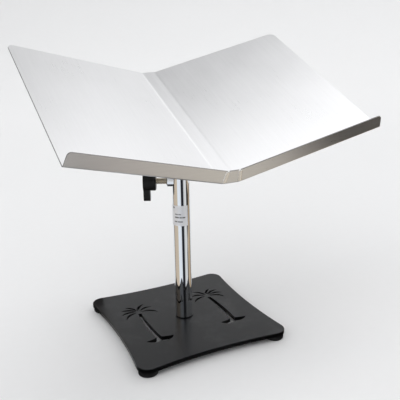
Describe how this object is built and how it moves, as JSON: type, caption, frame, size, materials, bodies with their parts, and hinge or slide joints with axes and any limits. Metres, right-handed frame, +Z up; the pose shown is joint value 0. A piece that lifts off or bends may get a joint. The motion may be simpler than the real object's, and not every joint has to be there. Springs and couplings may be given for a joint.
{
  "type": "music stand",
  "caption": "Tabletop music stand: square steel foot with palm-tree cut-outs, telescoping chrome post with a wing-knob clamp, tilting folded tray with a book lip",
  "frame": {"origin": "on the post's axis, on the surface that the four feet rest on", "axes": "+Z up along the post, -Y towards the reader, +X the reader's right"},
  "size_m": [0.3514, 0.2484, 0.3577],
  "materials": {
    "plate_paint": "satin dark grey powder coat",
    "foot_rubber": "matt",
    "foot_tape": "foam tape",
    "zinc_steel": "zinc plated",
    "plain_steel": "machined",
    "chrome": "polished",
    "black_nylon": "satin",
    "natural_nylon": "satin",
    "silver_label": "plain silver foil, no print",
    "knob_plastic": "satin",
    "head_paint": "satin black",
    "stainless": "brushed"
  },
  "bodies": {
    "base": {"base_plate": "plate_paint", "foot_front_left": "foot_rubber", "foot_front_right": "foot_rubber", "foot_rear_left": "foot_rubber", "foot_rear_right": "foot_rubber", "foot_adhesives": "foot_tape", "post_bolt": "zinc_steel", "post_washer": "zinc_steel", "tube_plug": "plain_steel", "lower_tube": "chrome", "guide_collar": "black_nylon", "tube_label": "silver_label", "clamp_boss": "chrome"},
    "pad": {"clamp_pad": "natural_nylon"},
    "clamp": {"clamp_screw": "zinc_steel", "clamp_knob": "knob_plastic"},
    "slider": {"slide_bush": "natural_nylon"},
    "riser": {"inner_tube": "chrome", "tilt_fork": "head_paint", "fork_pin": "plain_steel", "tilt_bolt": "zinc_steel", "tilt_washers": "zinc_steel", "tilt_nut": "zinc_steel", "friction_washers": "natural_nylon"},
    "tray": {"tray_bracket": "head_paint", "tray_studs": "plain_steel", "stud_washers": "zinc_steel", "stud_nuts": "zinc_steel", "tray_sheet": "stainless"}
  },
  "joints": [
    {"name": "height_slide", "type": "slide", "parent": "base", "child": "slider", "axis": [0, 0, 1], "range_m": [0, 0.12]},
    {"name": "swivel", "type": "hinge", "parent": "slider", "child": "riser", "pos_m": [0, 0, 0.2], "axis": [0, 0, 1], "continuous": true},
    {"name": "tray_tilt", "type": "hinge", "parent": "riser", "child": "tray", "pos_m": [0, 0, 0.2585], "axis": [1, 0, 0], "range_deg": [-17.7, 27.3]},
    {"name": "pad_travel", "type": "slide", "parent": "base", "child": "pad", "axis": [-0.8988, 0.4384, 0], "range_m": [0, 0.0025]},
    {"name": "clamp_turn", "type": "hinge", "parent": "pad", "child": "clamp", "pos_m": [0, 0, 0.194], "axis": [-0.8988, 0.4384, 0], "range_deg": [0, 720]}
  ],
  "couplings": [
    {"joint": "pad_travel", "follows": "clamp_turn", "m_per_rad": 0.00019894}
  ]
}
